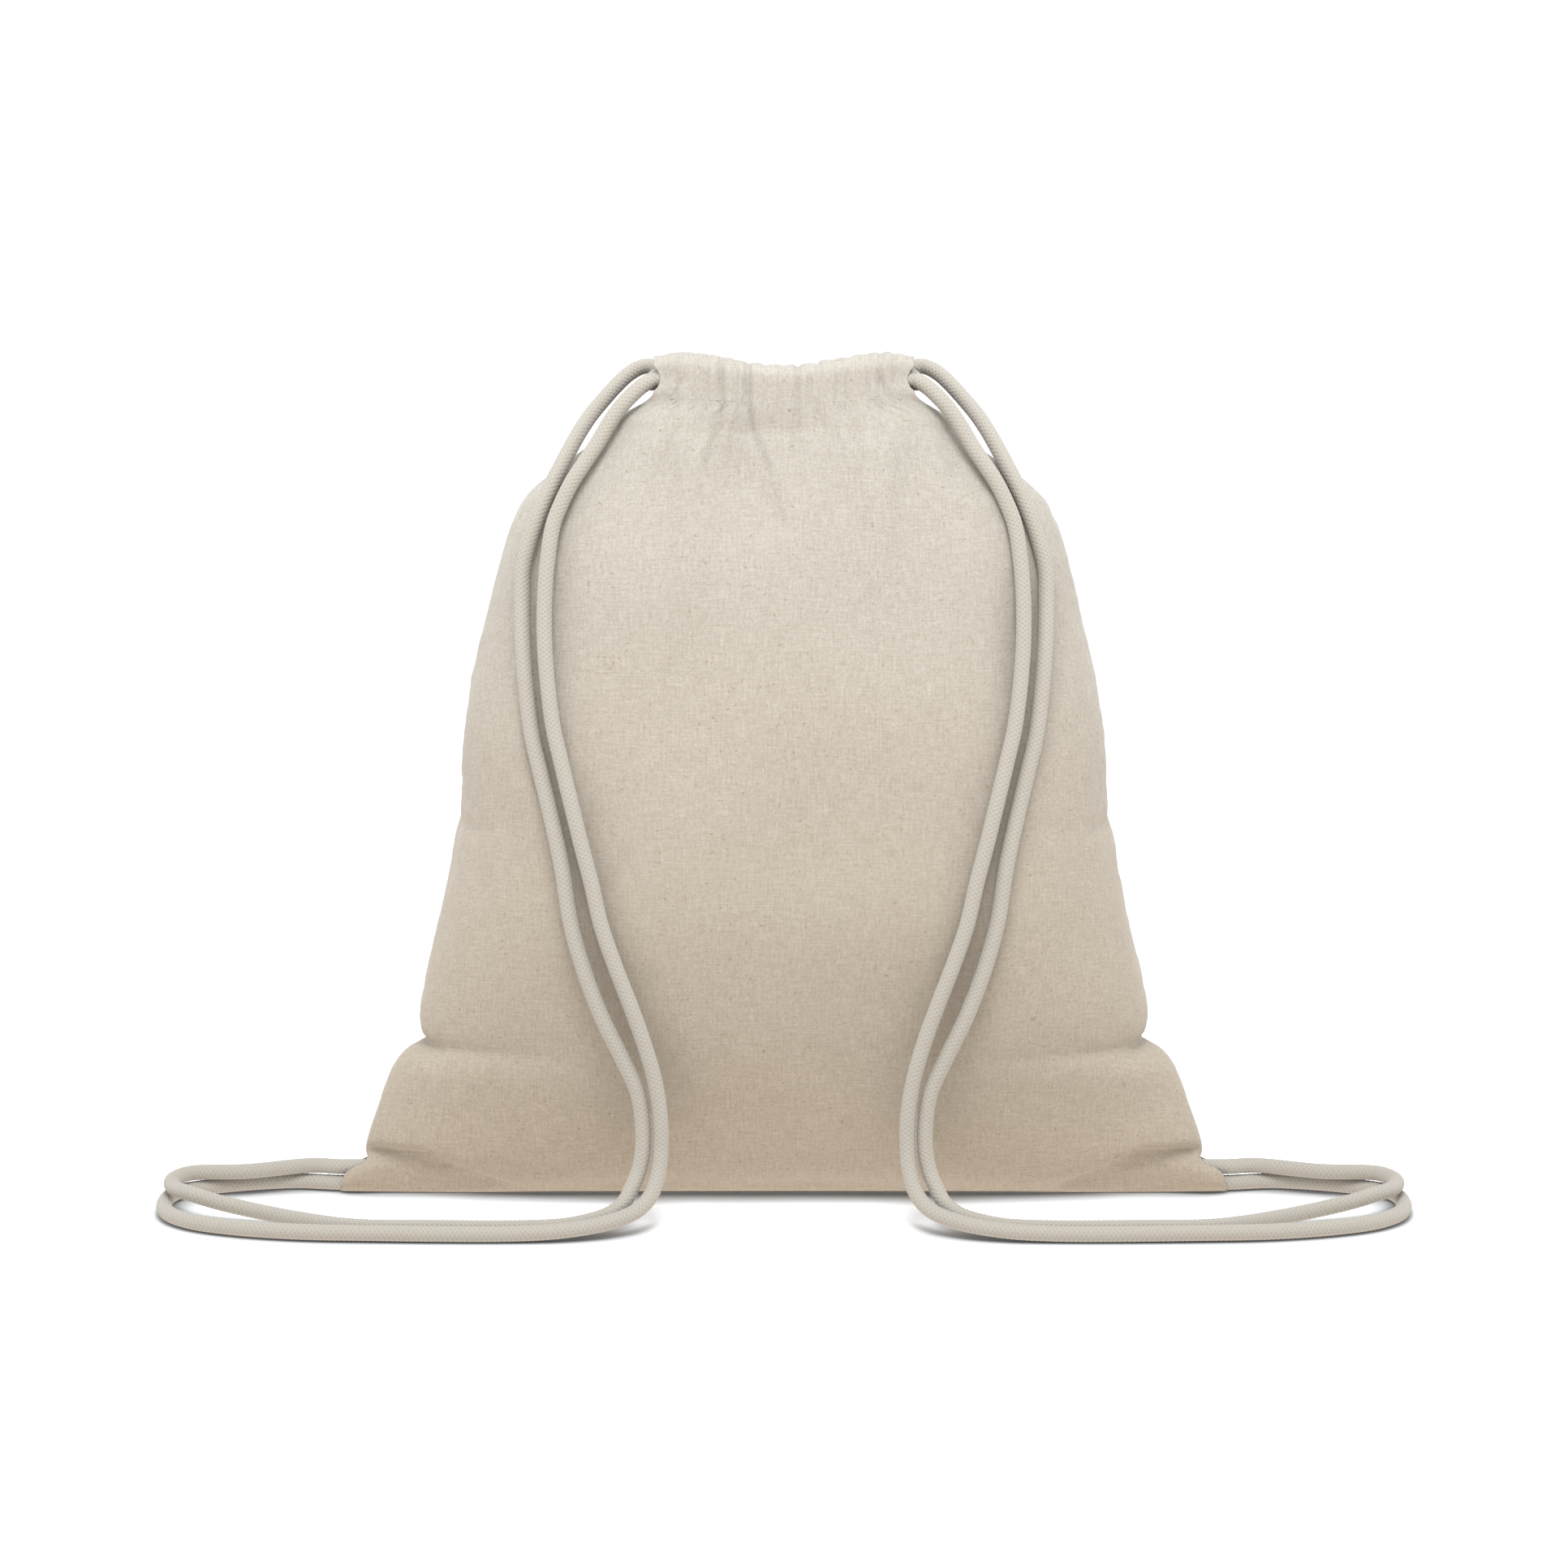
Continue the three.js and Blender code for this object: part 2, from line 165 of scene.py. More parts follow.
# The left cord's two free ends in millimetres: out of a casing, down the front, round on the ground and
# back to the left bottom corner. They repeat the CAD model's points, except that the outer strand's
# second point is 1.1 mm lower.
INNER_STRAND = (
    (-51.8, -26, 334.6),
    (-57, -27, 331.6),
    (-64, -28.5, 324.9),
    (-69, -29.5, 318.4),
    (-75, -31.5, 308.4),
    (-79.5, -33.5, 301.6),
    (-84.5, -35.5, 294),
    (-89, -37, 285),
    (-92, -38.5, 277),
    (-94, -41, 265),
    (-95.3, -44, 249),
    (-95.2, -48, 228),
    (-92, -54, 199),
    (-88.5, -57.5, 184),
    (-84.5, -61, 168),
    (-80.5, -63.7, 152),
    (-76.5, -66, 137),
    (-72.5, -68.3, 120),
    (-67, -70.2, 104),
    (-60.5, -71.4, 87),
    (-55, -72, 71),
    (-51.3, -72.3, 57),
    (-49.3, -73, 43),
    (-49.2, -74, 30),
    (-50.3, -77, 20.5),
    (-53, -82, 13.5),
    (-58.5, -88, 9),
    (-70, -94, 6),
    (-86, -98, 4.2),
    (-105, -99.3, 3.3),
    (-163, -98.5, 3.3),
    (-193, -96.3, 3.3),
    (-219, -90, 3.3),
    (-236, -82, 3.3),
    (-247, -70.5, 3.3),
    (-251.5, -54, 3.3),
    (-249, -39.5, 3.3),
    (-237, -31.5, 3.3),
    (-205, -22.5, 3.3),
    (-184.8, -25, 3.3),
)
OUTER_STRAND = (
    (-51.8, 2, 339.2),
    (-57, 2.5, 339.5),
    (-63, 0, 336.7),
    (-75.5, -10, 323.5),
    (-81.5, -17, 315),
    (-89, -26, 301),
    (-93, -30, 293),
    (-97, -32.5, 284),
    (-102, -34.5, 270),
    (-104.8, -36, 258),
    (-105, -38, 247),
    (-104.3, -43.5, 227),
    (-100.8, -50.5, 195),
    (-97, -54, 179),
    (-93, -57.5, 163),
    (-88.5, -61.5, 143),
    (-84.5, -65, 119),
    (-79, -67.5, 100),
    (-72, -69.3, 82),
    (-64.5, -70, 66.5),
    (-58.5, -70.8, 53),
    (-56.5, -71.5, 41),
    (-56.5, -73, 29),
    (-58, -75, 21.5),
    (-60.5, -78.5, 16),
    (-63.5, -82.5, 11),
    (-69, -86.5, 7.5),
    (-79, -89.5, 5),
    (-91, -91, 3.6),
    (-145, -91, 3.3),
    (-170, -89.3, 3.3),
    (-197, -78, 3.6),
    (-226, -70.5, 7.5),
    (-237, -66.5, 9.6),
    (-247, -57, 9.9),
    (-250, -45, 9.9),
    (-245, -35, 9.9),
    (-222, -32, 9.9),
    (-196, -22.5, 9.9),
    (-185, -24.5, 9.9),
)


def smooth_route(points, step):
    """Points a step apart on a centripetal Catmull-Rom curve through the given points."""
    p = np.array(points, float)
    p = np.vstack([2 * p[0] - p[1], p, 2 * p[-1] - p[-2]])
    knots = np.concatenate([[0], np.cumsum(np.sqrt(np.linalg.norm(np.diff(p, axis=0), axis=1)))])
    dense = []
    for i in range(1, len(p) - 2):
        t = np.linspace(knots[i], knots[i + 1], 40, endpoint=False)[:, None]
        k0, k1, k2, k3 = knots[i - 1 : i + 3]
        a1 = ((k1 - t) * p[i - 1] + (t - k0) * p[i]) / (k1 - k0)
        a2 = ((k2 - t) * p[i] + (t - k1) * p[i + 1]) / (k2 - k1)
        a3 = ((k3 - t) * p[i + 1] + (t - k2) * p[i + 2]) / (k3 - k2)
        b1 = ((k2 - t) * a1 + (t - k0) * a2) / (k2 - k0)
        b2 = ((k3 - t) * a2 + (t - k1) * a3) / (k3 - k1)
        dense.append(((k2 - t) * b1 + (t - k1) * b2) / (k2 - k1))
    dense = np.vstack([*dense, p[-2:-1]])
    along = np.concatenate([[0], np.cumsum(np.linalg.norm(np.diff(dense, axis=0), axis=1))])
    count = max(int(round(along[-1] / step)), 8)
    places = np.linspace(0, along[-1], count + 1)
    return np.column_stack([np.interp(places, along, dense[:, axis]) for axis in range(3)])


def route_length(points):
    return float(np.linalg.norm(np.diff(points, axis=0), axis=1).sum())


def new_mesh(name, vertices, faces):
    mesh = bpy.data.meshes.new(name)
    mesh.from_pydata(np.asarray(vertices, float).tolist(), [], [[int(i) for i in face] for face in faces])
    mesh.update()
    mesh.polygons.foreach_set("use_smooth", [True] * len(mesh.polygons))
    thing = bpy.data.objects.new(name, mesh)
    bpy.context.scene.collection.objects.link(thing)
    return thing


def travelling_frames(path):
    """A side and an up direction at each point of a path, turning as little as they can."""
    tangent = np.gradient(path, axis=0)
    tangent /= np.linalg.norm(tangent, axis=1)[:, None]
    side = np.zeros_like(path)
    start = np.cross(tangent[0], [0, 0, 1.0])
    side[0] = start / np.linalg.norm(start)
    for i in range(1, len(path)):
        moved = side[i - 1] - tangent[i] * np.dot(side[i - 1], tangent[i])
        side[i] = moved / np.linalg.norm(moved)
    return side, np.cross(tangent, side)


def braided_cord(name, points_mm):
    """A tube with the raised crossing bundles of a braided cord, and its length and girth as UVs."""
    path = smooth_route(np.array(points_mm) * MM, RING_STEP)
    side, up = travelling_frames(path)
    rings = len(path)
    angles = np.linspace(0, 2 * math.pi, CORD_SIDES, endpoint=False)
    lengthwise = np.arange(rings)[:, None] * RING_STEP * 2 * math.pi / BRAID_PITCH
    girthwise = angles[None, :] * BRAID_BUNDLES
    relief = np.maximum(np.cos(girthwise + lengthwise), np.cos(girthwise - lengthwise))
    radius = CORD_DIAMETER / 2 + BRAID_RELIEF * (relief - 1)
    tube = (
        path[:, None, :]
        + side[:, None, :] * (radius * np.cos(angles))[:, :, None]
        + up[:, None, :] * (radius * np.sin(angles))[:, :, None]
    )
    tube[:, :, 2] = np.maximum(tube[:, :, 2], 0.05 * MM)
    index = np.arange(rings * CORD_SIDES).reshape(rings, CORD_SIDES)
    turned = np.roll(index, -1, axis=1)
    quads = np.stack([index[:-1], turned[:-1], turned[1:], index[1:]], axis=2).reshape(-1, 4)
    first, last = index.size, index.size + 1
    caps = [(first, b, a) for a, b in zip(index[0], turned[0])]
    caps += [(last, a, b) for a, b in zip(index[-1], turned[-1])]
    cord = new_mesh(name, [*tube.reshape(-1, 3), path[0], path[-1]], [*quads, *caps])

    row, column = np.divmod(np.arange((rings - 1) * CORD_SIDES), CORD_SIDES)
    along = np.stack([row, row, row + 1, row + 1], axis=1) * RING_STEP
    around = np.stack([column, column + 1, column + 1, column], axis=1) / CORD_SIDES
    flat = np.stack([along, around], axis=2).reshape(-1, 2)
    layer = cord.data.uv_layers.new(name="braid")
    padding = np.zeros((len(layer.data) - len(flat), 2))
    layer.data.foreach_set("uv", np.vstack([flat, padding]).ravel())
    cord.data.materials.append(CORD)
    return cord, path


def mirrored(points, side):
    return [(side * x, y, z) for x, y, z in points]


# ---------------------------------------------------------------- materials


class Nodes:
    """A new material with short ways to add the nodes that the cotton needs."""

    def __init__(self, name, roughness, sheen):
        self.material = bpy.data.materials.new(name)
        self.material.use_nodes = True
        self.nodes = self.material.node_tree.nodes
        self.links = self.material.node_tree.links
        self.shader = self.nodes["Principled BSDF"]
        self.shader.inputs["Roughness"].default_value = roughness
        self.shader.inputs["Specular IOR Level"].default_value = 0.12
        self.shader.inputs["Sheen Weight"].default_value = sheen
        self.shader.inputs["Sheen Roughness"].default_value = 0.5
        place = self.nodes.new("ShaderNodeTexCoord")
        self.uv = place.outputs["UV"]
        self.solid = place.outputs["Object"]

    def noise(self, scale, detail, vector, stretch=(1, 1, 1)):
        mapping = self.nodes.new("ShaderNodeMapping")
        mapping.inputs["Scale"].default_value = stretch
        self.links.new(vector, mapping.inputs["Vector"])
        texture = self.nodes.new("ShaderNodeTexNoise")
        texture.inputs["Scale"].default_value = scale
        texture.inputs["Detail"].default_value = detail
        self.links.new(mapping.outputs["Vector"], texture.inputs["Vector"])
        return texture.outputs["Fac"]

    def sum(self, operation, *values):
        """One math node; each value is a socket or a number."""
        node = self.nodes.new("ShaderNodeMath")
        node.operation = operation
        for socket, value in zip(node.inputs, values):
            if isinstance(value, (int, float)):
                socket.default_value = value
            else:
                self.links.new(value, socket)
        return node.outputs["Value"]

    def ramp(self, value, low, low_colour, high, high_colour):
        node = self.nodes.new("ShaderNodeValToRGB")
        first, last = node.color_ramp.elements
        first.position = low
        first.color = (*low_colour, 1)
        last.position = high
        last.color = (*high_colour, 1)
        self.links.new(value, node.inputs["Fac"])
        return node.outputs["Color"]

    def multiply(self, *colours):
        result = colours[0]
        for colour in colours[1:]:
            node = self.nodes.new("ShaderNodeMix")
            node.data_type = "RGBA"
            node.blend_type = "MULTIPLY"
            node.inputs["Factor"].default_value = 1
            self.links.new(result, node.inputs["A"])
            self.links.new(colour, node.inputs["B"])
            result = node.outputs["Result"]
        return result

    def axes(self, vector):
        node = self.nodes.new("ShaderNodeSeparateXYZ")
        self.links.new(vector, node.inputs[0])
        return node.outputs[0], node.outputs[1]

    def finish(self, colour, height, strength, distance):
        self.links.new(colour, self.shader.inputs["Base Color"])
        bump = self.nodes.new("ShaderNodeBump")
        bump.inputs["Strength"].default_value = strength
        bump.inputs["Distance"].default_value = distance
        self.links.new(height, bump.inputs["Height"])
        self.links.new(bump.outputs["Normal"], self.shader.inputs["Normal"])
        return self.material


CLOTH_LIGHT = (0.396, 0.381, 0.352)
CLOTH_DARK = (0.344, 0.3245, 0.290)
CLOTH_PAINTED_LOW_SHADE = (0.93, 0.84, 0.735)  # painted shade: the cloth is darker and browner towards the base, where less light falls
CLOTH_PAINTED_SHADE_HEIGHT = 320 * MM
# the cord's colour on its raised bundles, and the darker colour painted as shade in the gaps between them
CORD_LIGHT = (0.366, 0.348, 0.314)
CORD_DARK = (0.333, 0.312, 0.276)
WHITE = (1, 1, 1)
THREAD_PITCH = 0.62 * MM


def cloth_material():
    """Unbleached plain weave: crossing threads of uneven thickness and shade, with darker flecks, and
    painted shade that darkens it towards the base.
    """
    cloth = Nodes("cotton_cloth", 0.95, 0.2)
    warp = cloth.noise(1500, 2, cloth.uv, (1, 0.07, 1))
    weft = cloth.noise(1500, 2, cloth.uv, (0.07, 1, 1))
    base = cloth.ramp(cloth.noise(900, 2, cloth.solid), 0.32, CLOTH_DARK, 0.68, CLOTH_LIGHT)
    warp_shade = cloth.ramp(warp, 0.25, (0.90, 0.895, 0.88), 0.75, (1.05, 1.05, 1.05))
    weft_shade = cloth.ramp(weft, 0.25, (0.90, 0.895, 0.88), 0.75, (1.05, 1.05, 1.05))
    flecks = cloth.ramp(cloth.noise(700, 1, cloth.solid), 0.2, (0.74, 0.67, 0.58), 0.33, WHITE)
    slubs = cloth.ramp(cloth.noise(420, 2, cloth.uv, (1, 0.2, 1)), 0.66, WHITE, 0.8, (1.1, 1.11, 1.13))
    clouds = cloth.ramp(cloth.noise(12, 3, cloth.solid), 0.3, (0.975, 0.97, 0.962), 0.7, WHITE)
    across, upward = cloth.axes(cloth.uv)
    # painted shade: darker and browner lower on the panel, where the light is weaker
    painted_low_shade = cloth.ramp(cloth.sum("DIVIDE", upward, CLOTH_PAINTED_SHADE_HEIGHT), 0, CLOTH_PAINTED_LOW_SHADE, 1.0, WHITE)
    colour = cloth.multiply(base, warp_shade, weft_shade, flecks, slubs, clouds, painted_low_shade)
    turns = 2 * math.pi / THREAD_PITCH
    over = cloth.sum("SINE", cloth.sum("MULTIPLY", across, turns))
    under = cloth.sum("SINE", cloth.sum("MULTIPLY", upward, turns))
    weave = cloth.sum("MULTIPLY", cloth.sum("MULTIPLY", over, under), 0.35)
    height = cloth.sum("ADD", cloth.sum("ADD", warp, weft), weave)
    return cloth.finish(colour, height, 0.4, 0.22 * MM)


def cord_material():
    """Braided cotton: crossing bundles of yarn with painted shade in the gaps between them, and soft
    fibres.
    """
    cord = Nodes("cotton_cord", 0.9, 0.25)
    along, around = cord.axes(cord.uv)
    lengthwise = cord.sum("MULTIPLY", along, 2 * math.pi / BRAID_PITCH)
    girthwise = cord.sum("MULTIPLY", around, 2 * math.pi * BRAID_BUNDLES)
    one_way = cord.sum("COSINE", cord.sum("ADD", girthwise, lengthwise))
    other_way = cord.sum("COSINE", cord.sum("SUBTRACT", girthwise, lengthwise))
    bundles = cord.sum("MAXIMUM", one_way, other_way)
    fibres = cord.noise(1600, 2, cord.uv, (0.4, 3, 1))
    raised = cord.sum("ADD", cord.sum("MULTIPLY", bundles, 0.5), cord.sum("MULTIPLY", fibres, 0.5))
    colour = cord.multiply(
        # painted shade: the cord is darker where the bundles dip, in the gaps between them
        cord.ramp(bundles, 0.1, CORD_DARK, 0.62, CORD_LIGHT),
        cord.ramp(fibres, 0.25, (0.93, 0.925, 0.91), 0.75, WHITE),
    )
    return cord.finish(colour, raised, 0.5, 0.25 * MM)


def thread_material():
    """Tightly twisted sewing thread in the colour of the cloth."""
    thread = Nodes("sewing_thread", 0.8, 0.1)
    twist = thread.noise(2400, 1, thread.solid)
    colour = thread.ramp(twist, 0.3, CLOTH_DARK, 0.7, CLOTH_LIGHT)
    return thread.finish(colour, twist, 0.3, 0.1 * MM)


CLOTH = cloth_material()
CORD = cord_material()
THREAD = thread_material()

# ---------------------------------------------------------------- the cloth's shape, in millimetres

NECK = 321.7  # where the closed bag ends and its two hems begin
SEAM_Y = -12  # the plane between the two hems
HEM_BOTTOM = 322
HEM_HALF = 52
HEM_DEPTH = 17.2
HEM_SLOT = 2
HEM_BOW = 9
HEM_CROWN = 6.5  # height of the rounded top of a hem
RIM = 345  # top of the hems at their ends
RIM_DIP = 5.2  # how much lower the rim is in the middle
HOLE_HEIGHT = 335.4  # where the cords leave each end of a hem, through a rounded opening
HOLE_REACH = 4.6
HOLE_DEPTH = 2.5
FULLNESS = 2.4  # power of the rounded section: 2 is an ellipse
RESTING_SHARE = 0.85
THICKNESS = 0.6
CORD_GAP = 0.35 * MM
DENT_RADIUS = 9 * MM
DENT_LOWEST = 14 * MM  # below this the cords lie beside the bag or inside its corners

# height of the side seam, half width, seam y, front y, then the back's middle line y and z; the half
# widths follow the outline in the photo
STATIONS = np.array([
    (0, 184.3, -27, -29.5, -27, 0),
    (4, 183.2, -26, -33.5, -15, 0),
    (8, 181.8, -25, -37.5, -4, 0),
    (10, 180.2, -24.2, -39.2, 2, 0),
    (11.3, 177.2, -23.7, -40.2, 6, 0),
    (12.6, 174.0, -23.2, -41.1, 10, 0),
    (17, 174.2, -21.7, -43.6, 22, 0),
    (22, 173.3, -20.2, -45.9, 34, 0),
    (28, 171.5, -18.4, -48.3, 45, 0),
    (36, 168.8, -15.5, -51.2, 56, 1),
    (46, 165.4, -12.2, -54.6, 63, 8),
    (52.4, 162.2, -10.2, -56.8, 66.4, 14.8),
    (57.9, 156.8, -8.6, -58.4, 67.7, 21.5),
    (62, 149.6, -7.4, -59.7, 68.4, 27),
    (65.8, 151.3, -6.5, -60.8, 68.8, 31.5),
    (73, 152.0, -5, -63, 69.2, 40),
    (88, 149.8, -2, -66.4, 70, 63),
    (107, 144.9, 0, -69, 69.8, 90),
    (121, 141.7, 0, -69.5, 69.5, 107),
    (135, 139.0, 0, -68.8, 68.4, 124),
    (148, 136.6, 0, -68, 67.2, 140),
    (154.5, 134.6, 0, -67.7, 66.5, 147.5),
    (161, 134.0, -0.2, -67.2, 65.2, 155),
    (176, 133, -0.9, -65.5, 62, 172),
    (190, 131.8, -1.6, -63.5, 58.5, 188),
    (212, 128.4, -3, -60.2, 53, 211),
    (240, 121.2, -6, -55, 44, 240),
    (262, 115.2, -8, -50.5, 36, 262),
    (277, 110.1, -9.3, -47, 30, 277),
    (288, 103.6, -10, -44.7, 26, 288),
    (298, 91.6, -10.8, -42.8, 22.3, 298),
    (308, 77.6, -11.6, -41.2, 19, 308),
    (315, 70, -12, -40.3, 17, 315),
    (NECK, 63.6, -12, -39.8, 15.8, NECK),
])

COLUMNS = 208
ROW_STEP = 1.8
SIM_COLUMNS = 84
SIM_ROW_STEP = 4.2


def along_stations(heights):
    """The five shape values at each height, on smooth curves through the stations."""
    known = STATIONS[:, 0]
    i = np.clip(np.searchsorted(known, heights, side="right") - 1, 0, len(known) - 2)
    gap = known[i + 1] - known[i]
    t = (heights - known[i]) / gap
    smooth = []
    for values in STATIONS[:, 1:].T:
        slope = np.gradient(values, known)
        smooth.append(
            (2 * t**3 - 3 * t**2 + 1) * values[i]
            + (t**3 - 2 * t**2 + t) * gap * slope[i]
            + (3 * t**2 - 2 * t**3) * values[i + 1]
            + (t**3 - t**2) * gap * slope[i + 1]
        )
    return smooth


def even_columns(curve, count):
    """The points of a curve, count + 1 of them, at equal distances along it."""
    along = np.concatenate([[0], np.cumsum(np.linalg.norm(np.diff(curve, axis=0), axis=1))])
    places = np.linspace(0, along[-1], count + 1)
    return np.column_stack([np.interp(places, along, curve[:, axis]) for axis in range(3)])


def smoothstep(low, high, value):
    t = np.clip((value - low) / (high - low), 0, 1)
    return t * t * (3 - 2 * t)


def body_rows(front, row_step, columns):
    """The rows of one panel from the bottom seam to the neck, each from left to right."""
    heights = np.linspace(0, NECK, int(NECK / row_step) + 1)
    half, seam, front_y, back_y, back_z = along_stations(heights)
    angle = np.linspace(-math.pi / 2, math.pi / 2, 361)
    across = np.sign(angle) * np.abs(np.sin(angle)) ** (2 / FULLNESS)
    out = np.clip(np.cos(angle), 0, None) ** (2 / FULLNESS)
    rows = []
    for i, height in enumerate(heights):
        if front:
            y = seam[i] + (front_y[i] - seam[i]) * out
            z = np.full_like(out, height)
        else:
            y = seam[i] + (max(back_y[i], seam[i]) - seam[i]) * out
            z = height + (back_z[i] - height) * np.minimum(1, out / RESTING_SHARE)
        rows.append(even_columns(np.column_stack([half[i] * across, y, z]), columns))
    return np.array(rows)


def rim_dip(x):
    """How much lower than its ends the rim is."""
    return RIM_DIP * np.clip(1 - (x / 45) ** 2, 0, None) ** 2.6


def hem_middle(x):
    """Distance of a hem's middle from the plane between the two hems."""
    return HEM_SLOT + HEM_DEPTH / 2 + HEM_BOW * (1 - (x / HEM_HALF) ** 2)


def hem_rows(front, columns):
    """The rows of the hem: up its outer face, over the rim and down inside to its stitches."""
    sign = -1 if front else 1
    x = np.linspace(-HEM_HALF, HEM_HALF, columns + 1)
    half_depth = HEM_DEPTH / 2
    crown = HEM_CROWN
    shoulder = RIM - crown
    profile = []
    for height in np.arange(HEM_BOTTOM + 1.5, shoulder, 1.7):
        profile.append((half_depth, height))
    for turn in np.radians(np.arange(8, 173, 13)):
        profile.append((half_depth * math.cos(turn), shoulder + crown * math.sin(turn)))
    for height in np.arange(shoulder - 1.5, HEM_BOTTOM + 5, -1.8):
        profile.append((-half_depth, height))
    profile.append((-half_depth * 0.75, HEM_BOTTOM + 4.4))
    profile.append((-half_depth * 0.3, HEM_BOTTOM + 3.9))
    profile.append((half_depth * 0.2, HEM_BOTTOM + 3.6))
    profile.append((half_depth - 2.4, HEM_BOTTOM + 3.4))
    end_round = smoothstep(42, HEM_HALF, np.abs(x))
    built = []
    for out, z in profile:
        share = (z - HEM_BOTTOM) / (RIM - HEM_BOTTOM)
        lowered = z - share * (rim_dip(x) + 1.4 * end_round)
        y = SEAM_Y + sign * (hem_middle(x) + out * (1 - 0.16 * end_round * share))
        hole = max(0, 1 - ((z - HOLE_HEIGHT) / HOLE_REACH) ** 2) ** 0.5
        drawn_in = np.sign(x) * HOLE_DEPTH * hole * smoothstep(28, HEM_HALF, np.abs(x))
        built.append(np.column_stack([x - drawn_in, y, lowered]))
    return np.array(built)


def join_rows(body, hem):
    """Eases the panel's last rows from the closed sides of the bag into the open ends of the hem."""
    rows = np.vstack([body, hem])
    start = len(body) - 5
    end = len(body) + 4
    before, after = rows[start].copy(), rows[end].copy()
    for i in range(start + 1, end):
        share = (i - start) / (end - start)
        eased = share * share * (3 - 2 * share)
        target = before * (1 - eased) + after * eased
        target[:, 2] = before[:, 2] * (1 - share) + after[:, 2] * share
        rows[i] = target
    return rows


# ---------------------------------------------------------------- cloth simulation

SAG_FRAMES = 24
SAG_LIMIT = 7.0  # how far a point may move
HELD_HEIGHT = 6.0  # the lowest cloth rests on the ground and stays where it is
NECK_EXCESS = 0.07  # spare cloth just below the hems, as a share of its length
BODY_EXCESS = 0.012
WRINKLE_REACH = 6  # in cells of the simulated grid


def simulated_moves():
    """Lets a coarser bag buckle as cloth that is cut fuller than its shape, held at its seams and hems.

    Returns how far each point of the front and back grids moved, as arrays like body_rows gives.
    """
    shapes = [body_rows(front, SIM_ROW_STEP, SIM_COLUMNS) for front in (True, False)]
    row_count, column_count = shapes[0].shape[:2]
    front_index = np.arange(row_count * column_count).reshape(row_count, column_count)
    back_index = front_index.copy()
    inner = row_count * (column_count - 2)
    back_index[:, 1:-1] = front_index.size + np.arange(inner).reshape(row_count, -1)
    points = np.vstack([shapes[0].reshape(-1, 3), shapes[1][:, 1:-1].reshape(-1, 3)])
    faces = []
    for index, forward in ((front_index, True), (back_index, False)):
        quads = np.stack([index[:-1, :-1], index[:-1, 1:], index[1:, 1:], index[1:, :-1]], axis=2)
        quads = quads.reshape(-1, 4)
        faces.extend(quads if forward else quads[:, ::-1])
    held = set(front_index[:, 0]) | set(front_index[:, -1])
    held |= set(front_index[0]) | set(back_index[0]) | set(front_index[-1]) | set(back_index[-1])
    held |= set(np.flatnonzero(points[:, 2] < HELD_HEIGHT))
    held = sorted(int(i) for i in held)
    uneven = np.random.default_rng(5).normal(0, 0.12, points.shape)
    uneven[held] = 0
    bag = new_mesh("sagging_bag", (points + uneven) * MM, faces)
    pins = bag.vertex_groups.new(name="pins")
    pins.add(held, 1.0, "REPLACE")
    fuller = bag.vertex_groups.new(name="fuller")
    for i, height in enumerate(points[:, 2]):
        fuller.add([i], math.exp(-(((NECK - height) / 55) ** 2)), "REPLACE")

    cloth = bag.modifiers.new("cloth", "CLOTH")
    settings = cloth.settings
    settings.quality = 7
    settings.mass = 0.15
    settings.tension_stiffness = 25
    settings.compression_stiffness = 25
    settings.shear_stiffness = 8
    settings.bending_stiffness = 0.6
    settings.air_damping = 3
    settings.vertex_group_mass = "pins"
    settings.vertex_group_shrink = "fuller"
    settings.shrink_min = -BODY_EXCESS
    settings.shrink_max = -NECK_EXCESS
    settings.use_pressure = True
    settings.uniform_pressure_force = 0.6
    settings.effector_weights.gravity = 0.15
    cloth.collision_settings.use_collision = False
    cloth.collision_settings.use_self_collision = False
    scene = bpy.context.scene
    for frame_number in range(1, SAG_FRAMES + 1):
        scene.frame_set(frame_number)
    settled = bag.evaluated_get(bpy.context.evaluated_depsgraph_get()).data
    places = np.zeros(len(points) * 3)
    settled.vertices.foreach_get("co", places)
    moves = places.reshape(-1, 3) / MM - points
    scene.frame_set(1)
    bpy.data.objects.remove(bag)
    length = np.linalg.norm(moves, axis=1, keepdims=True)
    moves *= SAG_LIMIT * np.tanh(length / SAG_LIMIT) / np.maximum(length, 1e-6)
    return wrinkles_only(moves[front_index]), wrinkles_only(moves[back_index])


def cubic_weights(coarse_count, fine_count):
    """The matrix that reads evenly spaced samples at a finer even spacing, on Catmull-Rom curves."""
    places = np.linspace(0, coarse_count - 1, fine_count)
    i = np.clip(places.astype(int), 0, coarse_count - 2)
    t = places - i
    weights = np.zeros((fine_count, coarse_count))
    shares = (
        (-t + 2 * t**2 - t**3) / 2,
        (2 - 5 * t**2 + 3 * t**3) / 2,
        (t + 4 * t**2 - 3 * t**3) / 2,
        (-(t**2) + t**3) / 2,
    )
    for offset, share in zip((-1, 0, 1, 2), shares):
        column = np.clip(i + offset, 0, coarse_count - 1)
        np.add.at(weights, (np.arange(fine_count), column), share)
    return weights


def blur_weights(count, reach):
    """The matrix that averages samples with their neighbours, within about reach of each."""
    index = np.arange(count)
    weights = np.exp(-(((index[:, None] - index[None, :]) / reach) ** 2))
    return weights / weights.sum(axis=1, keepdims=True)


def wrinkles_only(moves):
    """Takes the broad swelling out of the simulated moves, because the stations already give it."""
    down = blur_weights(moves.shape[0], WRINKLE_REACH)
    across = blur_weights(moves.shape[1], WRINKLE_REACH)
    return moves - np.einsum("ri,ijk,cj->rck", down, moves, across)


